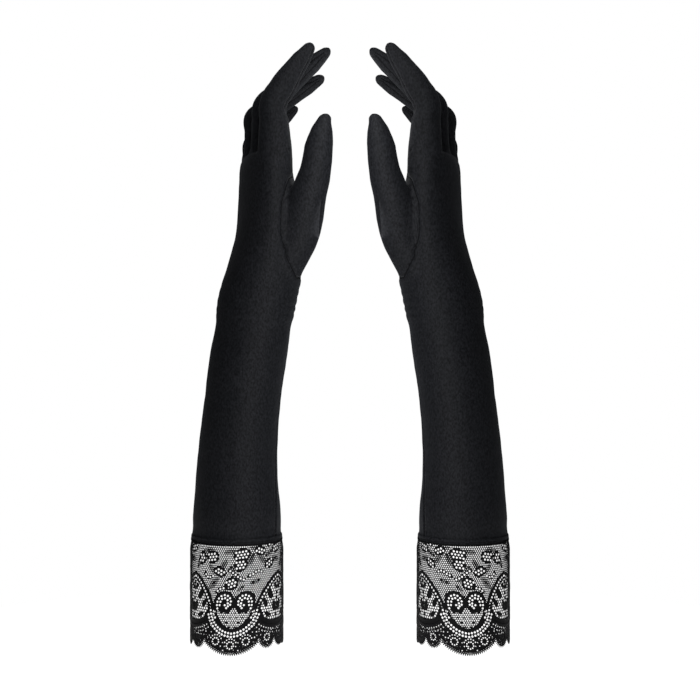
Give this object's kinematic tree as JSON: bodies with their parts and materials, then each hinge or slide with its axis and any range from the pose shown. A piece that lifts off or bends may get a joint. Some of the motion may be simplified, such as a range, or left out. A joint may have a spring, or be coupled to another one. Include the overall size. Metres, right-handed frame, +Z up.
{
  "type": "opera gloves",
  "caption": "Pair of long stretch-knit opera gloves for women, relaxed hands, inset thumbs and scalloped lace cuffs.",
  "frame": {"origin": "midway between the two gloves, at the level of the lowest lace scallops and the middle of the pair's depth", "axes": "+Z up along the forearms to the fingertips, +X from the left glove to the right glove, +Y from the thumb side to the little-finger side"},
  "size_m": [0.23, 0.0799, 0.4307],
  "materials": {
    "knit": "satin stretch knit",
    "sewing_thread": "twisted sewing thread",
    "lace": "open bobbin-style lace",
    "lace_thread": "sewing thread"
  },
  "bodies": {
    "left_sleeve_body": {"left_lace_cuff": "lace", "left_lace_seam": "lace_thread", "left_cuff_seam": "sewing_thread", "left_sleeve": "knit", "left_side_seam": "sewing_thread"},
    "left_hand_body": {"left_wrist_band": "knit", "left_hand": "knit", "left_thumb_piece": "knit", "left_thumb_seam": "sewing_thread", "left_fourchettes": "knit"},
    "left_index_body": {"left_index_knuckle": "knit", "left_index_tip": "knit"},
    "left_middle_body": {"left_middle_knuckle": "knit", "left_middle_tip": "knit"},
    "left_ring_body": {"left_ring_knuckle": "knit", "left_ring_tip": "knit"},
    "left_little_body": {"left_little_knuckle": "knit", "left_little_tip": "knit"},
    "left_thumb_body": {"left_thumb_knuckle": "knit", "left_thumb_tip": "knit"},
    "right_sleeve_body": {"right_lace_cuff": "lace", "right_lace_seam": "lace_thread", "right_cuff_seam": "sewing_thread", "right_sleeve": "knit", "right_side_seam": "sewing_thread"},
    "right_hand_body": {"right_wrist_band": "knit", "right_hand": "knit", "right_thumb_piece": "knit", "right_thumb_seam": "sewing_thread", "right_fourchettes": "knit"},
    "right_index_body": {"right_index_knuckle": "knit", "right_index_tip": "knit"},
    "right_middle_body": {"right_middle_knuckle": "knit", "right_middle_tip": "knit"},
    "right_ring_body": {"right_ring_knuckle": "knit", "right_ring_tip": "knit"},
    "right_little_body": {"right_little_knuckle": "knit", "right_little_tip": "knit"},
    "right_thumb_body": {"right_thumb_knuckle": "knit", "right_thumb_tip": "knit"}
  },
  "joints": [
    {"name": "left_wrist_bend", "type": "hinge", "parent": "left_sleeve_body", "child": "left_hand_body", "pos_m": [-0.06663, 0.00215, 0.2486], "axis": [-0.225, 0.9744, 0], "range_deg": [-40, 8], "deforming": ["left_wrist_band"]},
    {"name": "left_index_bend", "type": "hinge", "parent": "left_hand_body", "child": "left_index_body", "pos_m": [-0.05371, -0.0236, 0.3849], "axis": [-0.225, 0.9744, 0], "range_deg": [-29, 60], "deforming": ["left_index_knuckle"]},
    {"name": "left_middle_bend", "type": "hinge", "parent": "left_hand_body", "child": "left_middle_body", "pos_m": [-0.05967, -0.00579, 0.3869], "axis": [-0.225, 0.9744, 0], "range_deg": [-44, 45], "deforming": ["left_middle_knuckle"]},
    {"name": "left_ring_bend", "type": "hinge", "parent": "left_hand_body", "child": "left_ring_body", "pos_m": [-0.06804, 0.01137, 0.3809], "axis": [-0.225, 0.9744, 0], "range_deg": [-56, 33], "deforming": ["left_ring_knuckle"]},
    {"name": "left_little_bend", "type": "hinge", "parent": "left_hand_body", "child": "left_little_body", "pos_m": [-0.07178, 0.02847, 0.3646], "axis": [-0.225, 0.9744, 0], "range_deg": [-46, 42], "deforming": ["left_little_knuckle"]},
    {"name": "left_thumb_bend", "type": "hinge", "parent": "left_hand_body", "child": "left_thumb_body", "pos_m": [-0.02276, -0.02918, 0.3452], "axis": [-0.9744, -0.225, 0], "range_deg": [-15, 45], "deforming": ["left_thumb_knuckle"]},
    {"name": "right_wrist_bend", "type": "hinge", "parent": "right_sleeve_body", "child": "right_hand_body", "pos_m": [0.06663, 0.00215, 0.2486], "axis": [-0.225, -0.9744, 0], "range_deg": [-40, 8], "deforming": ["right_wrist_band"]},
    {"name": "right_index_bend", "type": "hinge", "parent": "right_hand_body", "child": "right_index_body", "pos_m": [0.05371, -0.0236, 0.3849], "axis": [-0.225, -0.9744, 0], "range_deg": [-29, 60], "deforming": ["right_index_knuckle"]},
    {"name": "right_middle_bend", "type": "hinge", "parent": "right_hand_body", "child": "right_middle_body", "pos_m": [0.05967, -0.00579, 0.3869], "axis": [-0.225, -0.9744, 0], "range_deg": [-44, 45], "deforming": ["right_middle_knuckle"]},
    {"name": "right_ring_bend", "type": "hinge", "parent": "right_hand_body", "child": "right_ring_body", "pos_m": [0.06804, 0.01137, 0.3809], "axis": [-0.225, -0.9744, 0], "range_deg": [-56, 33], "deforming": ["right_ring_knuckle"]},
    {"name": "right_little_bend", "type": "hinge", "parent": "right_hand_body", "child": "right_little_body", "pos_m": [0.07178, 0.02847, 0.3646], "axis": [-0.225, -0.9744, 0], "range_deg": [-46, 42], "deforming": ["right_little_knuckle"]},
    {"name": "right_thumb_bend", "type": "hinge", "parent": "right_hand_body", "child": "right_thumb_body", "pos_m": [0.02276, -0.02918, 0.3452], "axis": [-0.9744, 0.225, 0], "range_deg": [-15, 45], "deforming": ["right_thumb_knuckle"]},
    {"name": "pair_spread", "type": "slide", "parent": "left_sleeve_body", "child": "right_sleeve_body", "axis": [1, 0, 0], "range_m": [0, 0.2]}
  ]
}
